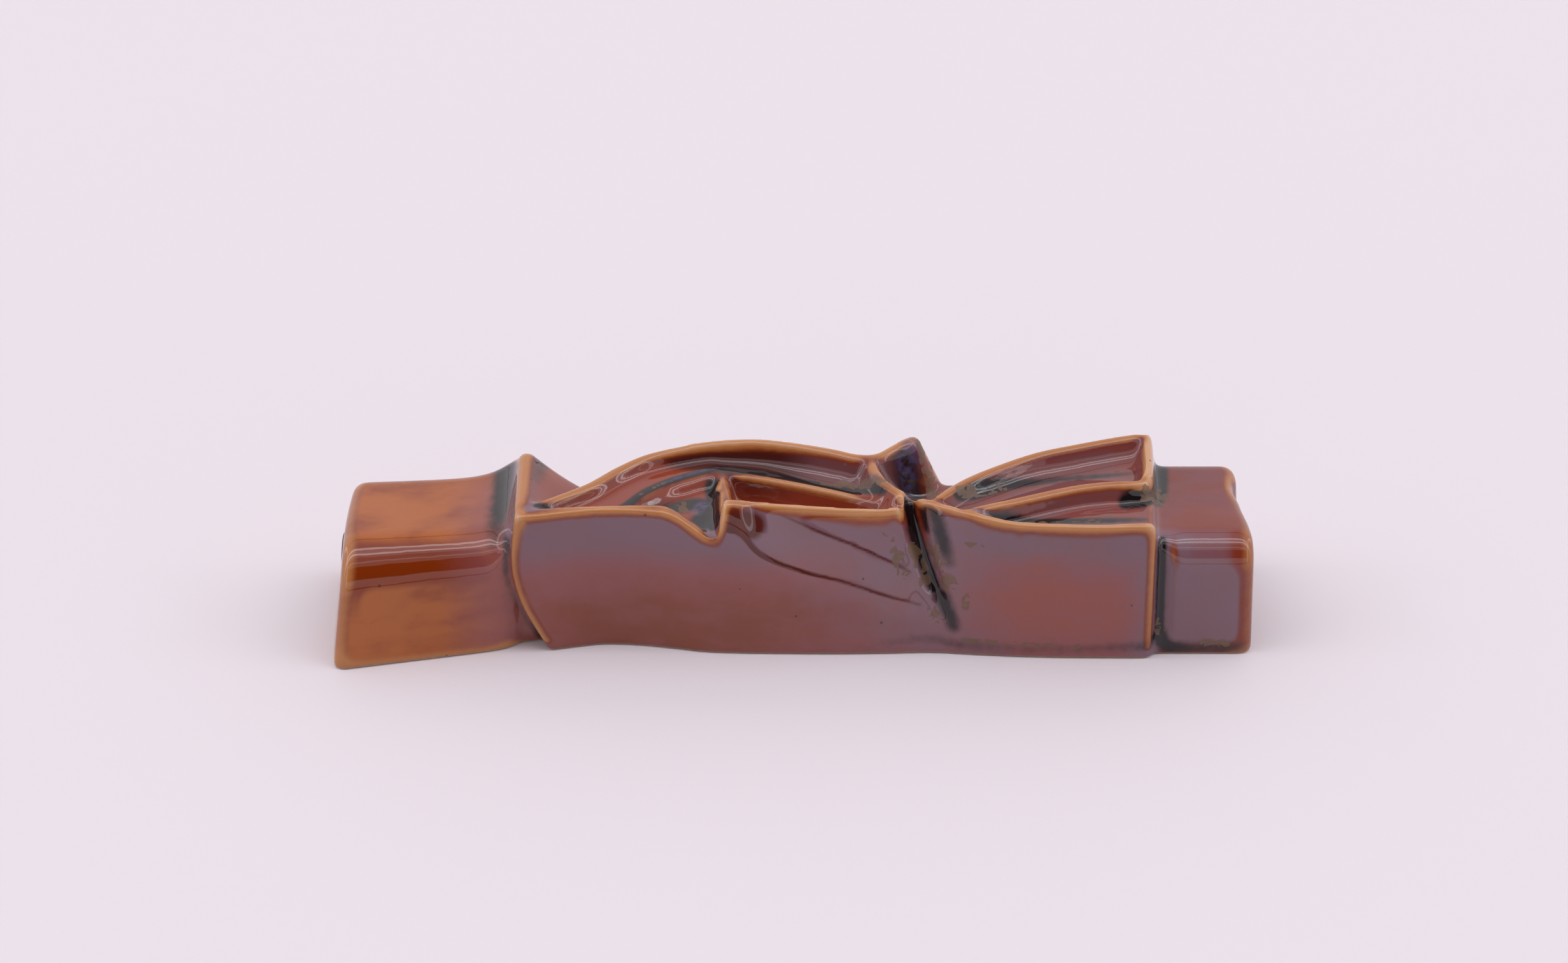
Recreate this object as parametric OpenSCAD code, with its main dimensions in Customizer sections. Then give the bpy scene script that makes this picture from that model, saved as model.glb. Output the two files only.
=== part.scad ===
// Mezuzah case: a glazed ceramic body with a folded relief, lying on its back.
// +X runs to the end that hangs uppermost, +Z out of the front, and the back face is z = 0.
// A blind bore from the lower end (-X) takes the rolled scroll, and a rubber stopper closes it.

/* [Case] */
// Length of the case
case_len = 129; // [127:1:150]
// Height of the plain block at the lower end
lower_top = 16.8; // [16:0.1:18]
// Height of the plain block at the upper end
upper_top = 17.6; // [17:0.1:18.5]
// Spacing of the sections along the relief
section_step = 1.25; // [1.1:0.05:2.5]

/* [Bore] */
// Diameter of the bore for the scroll
bore_d = 10; // [9.8:0.1:10.4]
// Height of the bore's axis over the back face
bore_z = 7.6; // [7.4:0.1:7.8]
// Ceramic left behind the blind end of the bore
end_wall = 11; // [6:0.5:14]

/* [Stopper] */
// Length of the stopper
stopper_len = 9.5; // [8:0.5:10]
// Radial clearance of the stopper's ribs in the bore
stopper_gap = 0.05; // [0.02:0.01:0.1]
// Depth of the finger recess, with its pull bar
grip_depth = 2.5; // [1.5:0.1:3.5]

/* [Scroll] */
// Width of the parchment sheet, which is the length of the roll
scroll_len = 100; // [80:1:104]
// Outside diameter of the roll
scroll_d = 8; // [7:0.1:8.2]
// Thickness of the parchment
parchment_t = 0.35; // [0.25:0.05:0.4]
// Turns of parchment in the roll
scroll_turns = 5; // [3:1:5]
// Thickness of the clear film round the roll
sleeve_t = 0.15; // [0.1:0.05:0.2]

/* [Hidden] */
$fn = 64;

stretch = case_len / 129;       // the relief below is laid out for a case 129 long
lower_end = -case_len / 2;
upper_end = case_len / 2;
front = 22;                     // height of the front plane, which most rims reach
end_lean = 2.2;                 // how far the lower end face leans back at its top
stopper_out = lower_end + 1.3;  // outer end of the stopper, just inside the leaning end face
stopper_in = stopper_out + stopper_len;
scroll_in = stopper_in + 0.3;
blind_end = upper_end - end_wall;

// Number of points round each section: near side, top, far side
SIDE = 9;
TOP = 24;
FAR = 7;

// Lines of the relief, each point [x, y, z]
ARCH = [[-36.9, -9.2, 22.2], [-35.1, -7.6, 22], [-28.5, -2.6, 22], [-24.2, 2.2, 22], [-20, 5.9, 22],
    [-14.6, 8.4, 22], [-9.5, 9.6, 22], [-4.3, 9.9, 22], [1.5, 8.6, 22], [6.4, 6.7, 22], [9.1, 5.4, 22],
    [11.2, 4.6, 22]];
CURL = [[11.2, 4.6, 22], [11.7, 2, 22], [13, -1.2, 22], [15.6, -4.5, 22]];
CURL_OUT = [[15.6, -4.5, 22], [19, -6.7, 22]];
SWEEP = [[19, -6.7, 22], [22.8, -8.8, 22], [25.6, -10.3, 22]];
FLUTE_TOP = [[15.6, -4.5, 22], [16.1, -6.5, 21], [14.9, -8, 21.8]];
CREST = [[11.2, 4.6, 22], [12.8, 6.6, 22], [15, 8.6, 22], [17.4, 10.4, 22], [18.3, 13.5, 22]];
NEAR_RIM = [[-36.9, -9.7, 22.2], [-30.7, -8.8, 22], [-21.9, -8.3, 22], [-17.1, -8.7, 22], [-13.5, -9.9, 20],
            [-11.2, -10.6, 18.6]];
FLAP_RIM = [[-9.2, -9, 23.4], [-4.3, -8.4, 22.7], [1.4, -8.4, 22.2], [8.9, -8.4, 21.8], [14.9, -8, 21.8]];
STEP = [[-9.7, 4.8, 19.5], [-9.6, -2, 21.9], [-9.2, -9, 23.4]];
TRIANGLE_FAR = [[-22.5, -5.5, 19.6], [-21, -3.1, 19.4], [-18.7, -1, 19.3], [-16.7, 0.9, 19.3],
    [-14.3, 2.2, 19.3], [-11.8, 3.6, 19.3], [-9.7, 4.8, 19.5]];
TRIANGLE_NEAR = [[-9.2, -9, 23.4], [-11.2, -10.2, 18.9], [-13.5, -9.6, 20], [-17, -8.2, 21.5],
    [-22.5, -5.5, 19.6]];
PIT_FAR = [[13.4, -3.9, 19.8], [9.1, -0.8, 19.5], [1.4, 2.5, 19.5], [-5.1, 4.5, 19.5], [-9.7, 4.8, 19.5]];
FOLD = [[-36.9, -9.6, 22.2], [-37, -3, 22.2], [-37, 4.5, 22.2], [-37, 7, 21.3], [-37, 13.5, 16.2]];
FAR_PETAL = [[20.4, -5.7, 22], [24.3, -1.2, 22], [28.7, 2.4, 22], [34.5, 6.2, 22], [39.8, 8.4, 22],
    [45.3, 10.4, 22], [49.5, 11.7, 22]];
MID_PETAL = [[24.6, -8.8, 21.8], [27.6, -7.4, 21.7], [33.9, -4.5, 21.7], [39.5, -2.2, 21.7],
    [43.6, -1.2, 21.7], [46.6, -0.9, 21.8]];
PETAL_END = [[46.6, -0.9, 21.8], [48.2, -0.8, 21.9], [49.4, -0.2, 22], [50.1, 2, 22], [50.4, 6, 22],
             [50.6, 13.5, 22]];
NEAR_PETAL = [[25.6, -10.3, 22], [28.2, -11.2, 21.7], [31, -11.8, 21.5], [36, -12.2, 21.4],
    [43, -12.35, 21.3], [49.3, -12.25, 21.5], [50.6, -14.5, 21.5]];
OUTLET = [[50.6, 13.5, 0], [57, 13.5, 0], [57, -14.5, 0], [50.6, -14.5, 0]];

// Recesses of the relief: [floor height, [[line, slope of its wall, depth of its wall], ...]]
RECESSES = [
    [18.5, [[ARCH, 2, 3.5], [CURL, 1.8, 4], [FLUTE_TOP, 2, 6],
        [rev(FLAP_RIM), 2.5, 3.5], [rev(NEAR_RIM), 2.5, 3.5]]],
    [18.2, [[TRIANGLE_FAR, 2, 1.2], [STEP, 3.5, 6], [TRIANGLE_NEAR, 2.5, 6]]],
    [15.6, [[STEP, 3, 8], [FLAP_RIM, 3, 8], [[FLAP_RIM[4], PIT_FAR[0]], 2, 6], [PIT_FAR, 3, 4.2]]],
    [13.8, [[FOLD, 0.9, 9.5], [[[-37, 13.5, 0], [-12, 13.5, 0]], 1, 1], [[[-12, 13.5, 10], ARCH[5]], 3, 12],
            [[for (i = [5:-1:0]) ARCH[i]], 1.8, 9]]],
    [13.8, [[CREST, 2.5, 20], [[[18.3, 13.5, 0], [48, 14.5, 0]], 1, 1],
        [[[48, 14.5, 10], FAR_PETAL[6]], 3, 12],
            [rev(FAR_PETAL), 2, 9], [rev(concat(CURL, CURL_OUT)), 2, 8]]],
    [19, [[FAR_PETAL, 1.7, 3], [rev(PETAL_END), 3, 3], [rev(MID_PETAL), 1.5, 2.6],
          [[[22.8, -8.8, 22], [19, -6.7, 22], [20.4, -5.7, 22]], 2, 3]]],
    [17.5, [[MID_PETAL, 2.2, 4.1], [PETAL_END, 3.2, 4.4], [OUTLET, 1, 1], [rev(NEAR_PETAL), 1.8, 4],
            [[NEAR_PETAL[0], MID_PETAL[0]], 2, 3]]]
];
// Low ridge between the arch's valley and the two pits in front of it
RIDGE = concat(TRIANGLE_FAR, [for (i = [3:-1:0]) PIT_FAR[i]]);

// Near side of the relief: its foot, the height at which the flap slopes most and how steeply,
// and the curl's lean
NEAR_FOOT = smooth([[-41, -11.6], [-36, -11.6], [-30, -10.3], [-26, -9.6], [-21, -9.9], [-16, -10.8],
    [-10, -11.8], [4.6, -12.15], [13.5, -12], [20, -11.8], [26.4, -12.4], [35, -13], [46.7, -13.2],
    [52, -13.1]]);
FLAP_BULGE = smooth([[-10, 26.9], [-8.7, 26], [-6.9, 24.4], [-4.1, 20], [1.2, 16.4], [6.5, 14.4],
    [12.2, 11.8], [17.6, 9.8], [30, 5.9]]);
FLAP_SLOPE = smooth([[-12, 1], [-8.7, 0.9], [-6.9, 0.7], [-4.1, 0.37], [1.2, 0.24], [6.5, 0.21],
    [12.2, 0.19], [30, 0.17]]);
CURL_LEAN = smooth([[10, 12], [12.6, 10.2], [15.6, 6.6], [19, 4.4], [22.8, 2.4], [25.6, 1.2], [28, 0.5],
    [31, 0.1], [34, 0], [60, 0]]);
NEAR_EDGE = [[-60, 22.2], [-22, 22.1], [-17.1, 22], [-13.5, 20], [-11.4, 18.5], [-10.3, 18.9],
    [-9.7, 21.5], [-9.2, 23.4], [-4.3, 22.7], [1.4, 22.2], [8.9, 21.8], [14.4, 21.8], [17, 22], [25, 22],
    [28.2, 21.8], [34, 21.5], [60, 21.5]];

// Far side of the relief: its foot, and how far it leans in at the front plane
FAR_FOOT = smooth([[-41, 10.4], [-30, 10.9], [0, 11.3], [30, 11.8], [45, 12.4], [51, 12.5]]);
FAR_LEAN = smooth([[-60, 0], [-37, 0], [-24, 4.8], [-20, 3.9], [-17, 2.6], [-14.6, 1.8], [-9.5, 0.7],
    [-4.3, 0.5], [1.5, 1.9], [6.4, 3.7], [9.1, 5], [11.6, 5.1], [14.1, 2.7], [16.6, 0.4], [20, 0],
    [60, 0]]);

// Outline of the relief's lower edge, as an offset along x at each height
LOWER_EDGE = smooth([[0, 4.5], [4.5, 2.3], [8, 0.8], [12, -0.2], [15, -0.4], [19, 0], [22.3, 0.4]]);

function rev(p) = [for (i = [len(p) - 1:-1:0]) p[i]];

// Curve through the points p, with n steps to a span
function smooth(p, n = 4) =
    let (last = len(p) - 1, e = concat([2 * p[0] - p[1]], p, [2 * p[last] - p[last - 1]]))
    [for (i = [0:last - 1], k = [0:n - 1])
         let (t = k / n, a = e[i], b = e[i + 1], c = e[i + 2], d = e[i + 3])
         0.5 * (2 * b + (c - a) * t + (2 * a - 5 * b + 4 * c - d) * t ^ 2 + (3 * b - a - 3 * c + d) * t ^ 3),
     p[last]];

function clamp(v, low, high) = max(low, min(high, v));
function bell(v) = exp(-v ^ 2);

// Distance from (x, y) to the span a-b, and the height of that span there
function span(a, b, x, y) =
    let (d = [b.x - a.x, b.y - a.y], t = clamp(([x - a.x, y - a.y] * d) / max(d * d, 0.000001), 0, 1))
    [norm([x - a.x - t * d.x, y - a.y - t * d.y]), a.z + t * (b.z - a.z)];

function tanh(v) = (1 - exp(-2 * v)) / (1 + exp(-2 * v));

// Height at (x, y) of the wall that falls away from a line, whose rim is flat to half_width on each side
function wall(line, slope, depth, x, y, half_width = 0.45) =
    let (s = [for (i = [0:len(line) - 2]) span(line[i], line[i + 1], x, y)],
         near = min([for (q = s) q[0]]),
         rim = [for (q = s) if (q[0] == near) q[1]][0])
    rim - depth * tanh(slope * max(near - half_width, 0) / depth);

function is_inside(p, x, y) =
    let (n = len(p),
         cuts = [for (i = [0:n - 1])
                     let (a = p[i], b = p[(i + 1) % n])
                     if ((a.y > y) != (b.y > y) && x < a.x + (y - a.y) * (b.x - a.x) / (b.y - a.y)) 1])
    len(cuts) % 2 == 1;

// Recesses with their lines smoothed, and the outline of each
function smooth_line(p) = len(p) > 2 ? smooth(p, 3) : p;
CUTS = [for (r = RECESSES)
            let (edges = [for (e = r[1]) [smooth_line(e[0]), e[1], e[2]]])
            [r[0], edges, [for (e = edges) each e[0]]]];
SMOOTH_RIDGE = smooth(RIDGE, 3);

// Height of one recess; the ridge stands in the first of them
function recess(i, x, y) =
    max([CUTS[i][0], for (e = CUTS[i][1]) wall(e[0], e[1], e[2], x, y),
         if (i == 0) wall(SMOOTH_RIDGE, 1.5, 3, x, y, 0.1)]);

// The fold at the lower end slopes down towards the far side
function fold_cap(y) = 22.3 - 0.95 * max(y - 5.6, 0);

// Height of the front surface of the relief
function relief(x, y) =
    min(concat(
        [y < 0 ? lookup(x, NEAR_EDGE) : 22.2, x < -30 ? fold_cap(y) : 99],
        [for (i = [0:len(CUTS) - 1]) if (is_inside(CUTS[i][2], x, y)) recess(i, x, y)]));

// How far the flap leans back at height z: it slopes most at its bulge, and a little all the way to its rim
function flap_lean(x, z) =
    let (bulge = lookup(x, FLAP_BULGE),
         above = max(z - bulge + 5, 0))
    (0.16 * above ^ 2 / (above + 1) + 3.8 * lookup(x, FLAP_SLOPE) * (tanh((z - bulge) / 3.8) + 1))
        * clamp((x + 10.2) / 0.9, 0, 1);

// Near side of the relief: the flap, the slanting flute beside it, and the curl beyond
function near_side(x, z) =
    let (foot = lookup(x, NEAR_FOOT) + 0.3 * z / front,
         left = 15.2 + (front - z) * 0.15,
         right = 20.4 + (front - z) * 0.19,
         flap = foot + flap_lean(x, z),
         curl = foot + lookup(x, CURL_LEAN) * (max(z - 2, 0) / 20) ^ 2,
         reach = 2.5 * max(x - left, 0),
         u = clamp((x - left) / (right - left), 0, 1),
         flute = 5 * clamp((z - 1.5) / 10, 0, 1) * u * (1 - u) ^ 2,
         groove = 1.6 * bell((x - 15.9 - (front - z) * 0.34) / 1.1) * clamp((z - 5) / 5, 0, 1))
    x < left ? flap : clamp(curl, flap - reach, flap + reach) + groove + flute;

function far_side(x, z) =
    lookup(x, FAR_FOOT) - 0.3 * z / front - lookup(x, FAR_LEAN) * clamp((z - 8) / 14, 0, 1.6) ^ 1.35;

// Where the rims cross the section at x, so that points of the section can lie on them
RIMS = [ARCH, concat(CURL, CURL_OUT, SWEEP), CREST, MID_PETAL, FAR_PETAL, TRIANGLE_FAR, rev(PIT_FAR)];
RIM_PLANS = [for (r = RIMS) [for (p = smooth(r)) [p.x, p.y]]];
function rims_at(x) = [for (r = RIM_PLANS) if (r[0].x <= x && x <= r[len(r) - 1].x) lookup(x, r)];

// Nearest rim within half a spacing of y, or y itself
function on_rim(y, spacing, rims) =
    let (found = [for (r = rims) if (abs(r - y) <= spacing / 2) r])
    len(found) > 0 ? found[0] : y;

// Section of the relief at x, as [y, z] points from the near foot over the front to the far foot
function relief_section(x) =
    let (rim = lookup(x, NEAR_EDGE),
         near = near_side(x, rim),
         guess = far_side(x, relief(x, far_side(x, 20) - 0.3)),
         back_z = relief(x, guess - 0.3),
         far = far_side(x, back_z),
         spacing = (far - near) / (TOP - 1),
         rims = rims_at(x))
    concat(
        [for (i = [0:SIDE - 1]) let (z = rim * i / SIDE) [near_side(x, z), z]],
        [[near, rim]],
        [for (i = [1:TOP - 2]) let (y = on_rim(near + i * spacing, spacing, rims)) [y, relief(x, y)]],
        [[far, back_z]],
        [for (i = [FAR - 1:-1:0]) let (z = back_z * i / FAR) [far_side(x, z), z]]);

// Section of a plain block: y of its feet and of its shoulders, the two rounded front edges, and its height
function block_section(foot, top, near_r, far_r, height) =
    concat(
        [for (i = [0:3]) [foot[0] + (top[0] - foot[0]) * i / 4, (height - near_r) * i / 4]],
        [for (i = [0:4]) let (a = i * 18) [top[0] + near_r * (1 - cos(a)), height - near_r * (1 - sin(a))]],
        [for (i = [0:TOP - 1])
             let (t = i / (TOP - 1)) [top[0] + near_r + (top[1] - far_r - top[0] - near_r) * t, height]],
        [for (i = [3:-1:1])
            let (a = i * 30 - 15)
            [top[1] - far_r * (1 - cos(a)), height - far_r * (1 - sin(a))]],
        [for (i = [3:-1:0]) [foot[1] + (top[1] - foot[1]) * i / 4, (height - far_r) * i / 4]]);

// The lower block bends towards the near side, flares at its foot, and rises to the relief's fold
function lower_section(x) =
    let (t = clamp((x + 64) / 22, 0, 1.2),
         cove = 1.5 * exp(-max(-38 - x, 0) / 1.3),
         near_r = 5.6 - 4.2 * clamp((x + 41.5) / 3.5, 0, 1),
         section = block_section([-16.6 + 5.1 * t + cove, 10.9 - 0.2 * t],
                                 [-12.7 + 1.9 * t + cove, 9 + 1.5 * t], near_r, 3, lower_top))
    [for (p = section)
         let (rise = 5.6 * exp(-max(-37.8 - x, 0) / (1 + 0.085 * clamp(p.x + 10, 0, 20))),
              share = clamp(p.y / lower_top, 0, 1.2) ^ 4)
         [p.x, min(p.y + rise * share, fold_cap(p.x))]];

// The upper block stands behind a groove, with the nail notch in the front edge of its end
function upper_section(x) =
    let (groove = 0.8 * bell((x - 51.5) / 0.9),
         notch = 1.1 * clamp((x - 62) / 1.6, 0, 1),
         near_r = 4.3 - 2.3 * clamp((54 - x) / 2.5, 0, 1),
         section = block_section([-12 + groove, 12.3], [-11 + groove, 12.1], near_r, 2.6, upper_top))
    [for (p = section) p.y < upper_top - 0.3 ? p : [p.x, p.y - notch * bell((p.x - 4.8) / 2.4)]];

// Section drawn in by d all round, for the rounded edge of an end
function drawn_in(section, d) =
    let (top = max([for (p = section) p.y]), half = 12.5)
    [for (p = section) [p.x * (1 - d / half), p.y * (1 - d / top)]];

// Stations along the case, each [x, section]
STATIONS = concat(
    [for (q = [[-64.5, 1.5], [-64.1, 0.6], [-63.3, 0]]) [q[0], drawn_in(lower_section(q[0]), q[1])]],
    [for (x = [-61.5:2.5:-44]) [x, lower_section(x)]],
    [for (x = [-42.6, -41.4, -40.4, -39.6, -39]) [x, lower_section(x)]],
    [for (x = [-38.4:section_step:50.4]) [x, relief_section(x)]],
    [for (x = [50.7, 50.95]) [x, relief_section(x)]],
    [for (x = [51.4, 52.2, 54, 58, 61.8, 62.8]) [x, upper_section(x)]],
    [for (q = [[63.6, 0.1], [64.2, 0.5], [64.5, 1.4]]) [q[0], drawn_in(upper_section(64), q[1])]]);

// The lower end face leans back, the relief's lower edge follows its outline, and its upper end runs askew
function shifted(x, y, z) =
    let (at_end = clamp((-50 - x) / 14, 0, 1),
         at_edge = max(0, 1 - abs(x + 38.7) / 7),
         at_upper_edge = max(0, 1 - abs(x - 51) / 6))
    x + end_lean * at_end * z / lower_top + at_edge * lookup(z, LOWER_EDGE) + at_upper_edge * 0.055 * y;

function mean(ring) = [for (p = ring) 1] * ring / len(ring);

module case_shell() {
    rings = [for (s = STATIONS) [for (p = s[1]) [shifted(s[0], p.x, p.y) * stretch, p.x, p.y]]];
    n = len(rings[0]);
    last = len(rings) - 1;
    centre = n * (last + 1);
    polyhedron(
        points = concat([for (r = rings) each r], [mean(rings[0]), mean(rings[last])]),
        faces = concat(
            [for (i = [0:n - 1]) [centre, i, (i + 1) % n]],
            [for (j = [0:last - 1], i = [0:n - 1])
                 let (k = (i + 1) % n, a = j * n + i, b = j * n + k, c = a + n, d = b + n,
                      rises = rings[j][i].z + rings[j + 1][k].z > rings[j][k].z + rings[j + 1][i].z)
                 each (rises ? [[a, c, d], [a, d, b]] : [[a, c, b], [b, c, d]])],
            [for (i = [0:n - 1]) [centre + 1, last * n + (i + 1) % n, last * n + i]]),
        convexity = 6);
}

module along_x(from, to, r) {
    translate([from, 0, bore_z]) rotate([0, 90, 0]) cylinder(h = to - from, r = r);
}

module case_body() {
    color("saddlebrown")
    difference() {
        case_shell();
        along_x(lower_end - 5, blind_end, bore_d / 2);
    }
}

// Rubber bung with three sealing ribs and a bar across its finger recess
module stopper() {
    rib_r = bore_d / 2 - stopper_gap;
    core_r = rib_r - 0.3;
    pitch = stopper_len / 4;
    color("dimgray")
    difference() {
        union() {
            along_x(stopper_out, stopper_in, core_r);
            for (i = [0:2]) {
                rib_out = stopper_out + 0.6 + i * 1.25 * pitch;
                along_x(rib_out, rib_out + 0.6 * pitch, rib_r);
            }
        }
        for (side = [-1, 1])
            intersection() {
                along_x(stopper_out - 1, stopper_out + grip_depth, core_r - 1);
                translate([stopper_out, side * 5.8, bore_z]) cube([2 * stopper_len, 10, 20], center = true);
            }
    }
}

// End view of the rolled sheet: a spiral from the outer edge in
module spiral() {
    outer = scroll_d / 2;
    pitch = parchment_t + 0.1;
    steps = scroll_turns * 24;
    function arm(r) = [for (i = [0:steps]) let (a = i * 15) (r - pitch * i / 24) * [cos(a), sin(a)]];
    polygon(concat(arm(outer), rev(arm(outer - parchment_t))));
}

module parchment_scroll() {
    color("wheat")
    translate([scroll_in, 0, bore_z]) rotate([90, 0, 90]) linear_extrude(scroll_len) spiral();
}

module scroll_sleeve() {
    inner = scroll_d / 2 + 0.1;
    color("lightblue")
    difference() {
        along_x(scroll_in, scroll_in + scroll_len, inner + sleeve_t);
        along_x(scroll_in - 1, scroll_in + scroll_len + 1, inner);
    }
}

case_body();
stopper();
parchment_scroll();
scroll_sleeve();
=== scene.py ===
"""Looks of a glazed ceramic mezuzah case, with its stopper, rolled scroll and clear sleeve.

Lengths in this file are millimetres, turned into metres where a mesh or the camera is made.
X runs along the case to the end that hangs uppermost, Z out of its front, and z = 0 is its flat back.
"""
import math

import bpy
import numpy as np
import openvdb
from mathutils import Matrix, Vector


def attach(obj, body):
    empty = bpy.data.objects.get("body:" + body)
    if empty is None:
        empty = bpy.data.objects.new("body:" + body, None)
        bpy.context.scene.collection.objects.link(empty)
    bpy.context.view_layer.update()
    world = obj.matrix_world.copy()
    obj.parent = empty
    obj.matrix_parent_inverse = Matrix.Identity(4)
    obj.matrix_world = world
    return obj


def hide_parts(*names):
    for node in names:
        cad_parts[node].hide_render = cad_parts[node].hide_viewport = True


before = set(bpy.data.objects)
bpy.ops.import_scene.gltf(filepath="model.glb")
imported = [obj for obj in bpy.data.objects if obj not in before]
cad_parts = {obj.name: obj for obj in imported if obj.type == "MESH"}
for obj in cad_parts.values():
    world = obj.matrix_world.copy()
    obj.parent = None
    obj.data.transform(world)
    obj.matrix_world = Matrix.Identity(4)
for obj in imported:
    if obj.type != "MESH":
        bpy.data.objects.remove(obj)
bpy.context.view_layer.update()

MM = 0.001
VOXEL = 0.36            # spacing of the grid on which the ceramic is shaped
FRONT = 22.0            # height of the front plane, which most rims reach
FOLD_TOP = 22.3         # height of the fold at the relief's lower end
LOWER_TOP = 16.8        # height of the lower block
UPPER_TOP = 17.6        # height of the upper block
BORE_AXIS_Z = 7.6
BORE_RADIUS = 5.0
BLIND_END = 53.5
LOWER_END = -64.5
UPPER_END = 64.5
RIM_HALF_WIDTH = 0.45   # half the width of the flat top of a rim
FAR_AWAY = 99.0

# Lines of the relief, each point (x, y, z), where z is the height of the rim there
ARCH = [(-36.9, -9.2, 22.2), (-35.1, -7.6, 22), (-28.5, -2.6, 22), (-24.2, 2.2, 22), (-20, 5.9, 22),
        (-14.6, 8.4, 22), (-9.5, 9.6, 22), (-4.3, 9.9, 22), (1.5, 8.6, 22), (6.4, 6.7, 22),
        (9.1, 5.4, 22), (11.2, 4.6, 22)]
CURL = [(11.2, 4.6, 22), (11.7, 2, 22), (13, -1.2, 22), (15.6, -4.5, 22), (19, -6.7, 22)]
FLUTE_TOP = [(15.6, -4.5, 22), (16.1, -6.5, 21), (14.9, -8, 21.8)]
CREST = [(11.2, 4.6, 22), (12.8, 6.6, 22), (15, 8.6, 22), (17.4, 10.4, 22), (18.3, 13.5, 22)]
NEAR_RIM = [(-36.9, -9.7, 22.2), (-30.7, -8.8, 22), (-21.9, -8.3, 22), (-17.1, -8.7, 22),
            (-13.5, -9.9, 20), (-11.2, -10.6, 18.6)]
FLAP_RIM = [(-9.2, -9, 23.4), (-4.3, -8.4, 22.7), (1.4, -8.4, 22.2), (8.9, -8.4, 21.8), (14.9, -8, 21.8)]
STEP = [(-9.7, 4.8, 19.5), (-9.6, -2, 21.9), (-9.2, -9, 23.4)]
TRIANGLE_FAR = [(-22.5, -5.5, 19.6), (-21, -3.1, 19.4), (-18.7, -1, 19.3), (-16.7, 0.9, 19.3),
                (-14.3, 2.2, 19.3), (-11.8, 3.6, 19.3), (-9.7, 4.8, 19.5)]
TRIANGLE_NEAR = [(-9.2, -9, 23.4), (-11.2, -10.2, 18.9), (-13.5, -9.6, 20), (-17, -8.2, 21.5),
                 (-22.5, -5.5, 19.6)]
PIT_FAR = [(13.4, -3.9, 19.8), (9.1, -0.8, 19.5), (1.4, 2.5, 19.5), (-5.1, 4.5, 19.5), (-9.7, 4.8, 19.5)]
FOLD = [(-36.9, -9.6, 22.2), (-37, -3, 22.2), (-37, 4.5, 22.2), (-37, 7, 21.3), (-37, 13.5, 16.2)]
FAR_PETAL = [(20.4, -5.7, 22), (24.3, -1.2, 22), (28.7, 2.4, 22), (34.5, 6.2, 22), (39.8, 8.4, 22),
             (45.3, 10.4, 22), (49.5, 11.7, 22)]
MID_PETAL = [(24.6, -8.8, 21.8), (27.6, -7.4, 21.7), (33.9, -4.5, 21.7), (39.5, -2.2, 21.7),
             (43.6, -1.2, 21.7), (46.6, -0.9, 21.8)]
PETAL_END = [(46.6, -0.9, 21.8), (48.2, -0.8, 21.9), (49.4, -0.2, 22), (50.1, 2, 22), (50.4, 6, 22),
             (50.6, 13.5, 22)]
NEAR_PETAL = [(25.6, -10.3, 22), (28.2, -11.2, 21.7), (31, -11.8, 21.5), (36, -12.2, 21.4),
              (43, -12.35, 21.3), (49.3, -12.25, 21.5), (50.6, -14.5, 21.5)]
OUTLET = [(50.6, 13.5, 0), (57, 13.5, 0), (57, -14.5, 0), (50.6, -14.5, 0)]


def back(line):
    return line[::-1]


# Recesses of the relief: floor height, then (line, slope of its wall, depth of its wall) round the edge
RECESSES = [
    # the arch with the valley behind the flap
    (18.5, [(ARCH, 2, 3.5), (CURL[:4], 1.8, 4), (FLUTE_TOP, 2, 6), (back(FLAP_RIM), 2.5, 3.5),
            (back(NEAR_RIM), 2.5, 3.5)]),
    # the three-cornered pit, and the long pit behind the flap
    (18.2, [(TRIANGLE_FAR, 2, 1.2), (STEP, 3.5, 6), (TRIANGLE_NEAR, 2.5, 6)]),
    (15.6, [(STEP, 3, 8), (FLAP_RIM, 3, 8), ([FLAP_RIM[-1], PIT_FAR[0]], 2, 6), (PIT_FAR, 3, 4.2)]),
    # the slopes that fall to the far side, from the fold and from the crest
    (13.8, [(FOLD, 0.9, 9.5), ([(-37, 13.5, 0), (-12, 13.5, 0)], 1, 1), ([(-12, 13.5, 10), ARCH[5]], 3, 12),
            (back(ARCH[:6]), 1.8, 9)]),
    (13.8, [(CREST, 2.5, 20), ([(18.3, 13.5, 0), (48, 14.5, 0)], 1, 1),
            ([(48, 14.5, 10), FAR_PETAL[6]], 3, 12), (back(FAR_PETAL), 2, 9), (back(CURL), 2, 8)]),
    # the troughs of the two petals
    (19.0, [(FAR_PETAL, 1.7, 3), (back(PETAL_END), 3, 3), (back(MID_PETAL), 1.5, 2.6),
            ([(22.8, -8.8, 22), (19, -6.7, 22), (20.4, -5.7, 22)], 2, 3)]),
    (17.5, [(MID_PETAL, 2.2, 4.1), (PETAL_END, 3.2, 4.4), (OUTLET, 1, 1), (back(NEAR_PETAL), 1.8, 4),
            ([NEAR_PETAL[0], MID_PETAL[0]], 2, 3)]),
]
# Low ridge between the arch's valley and the two pits in front of it
RIDGE = TRIANGLE_FAR + back(PIT_FAR)[1:]

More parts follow.
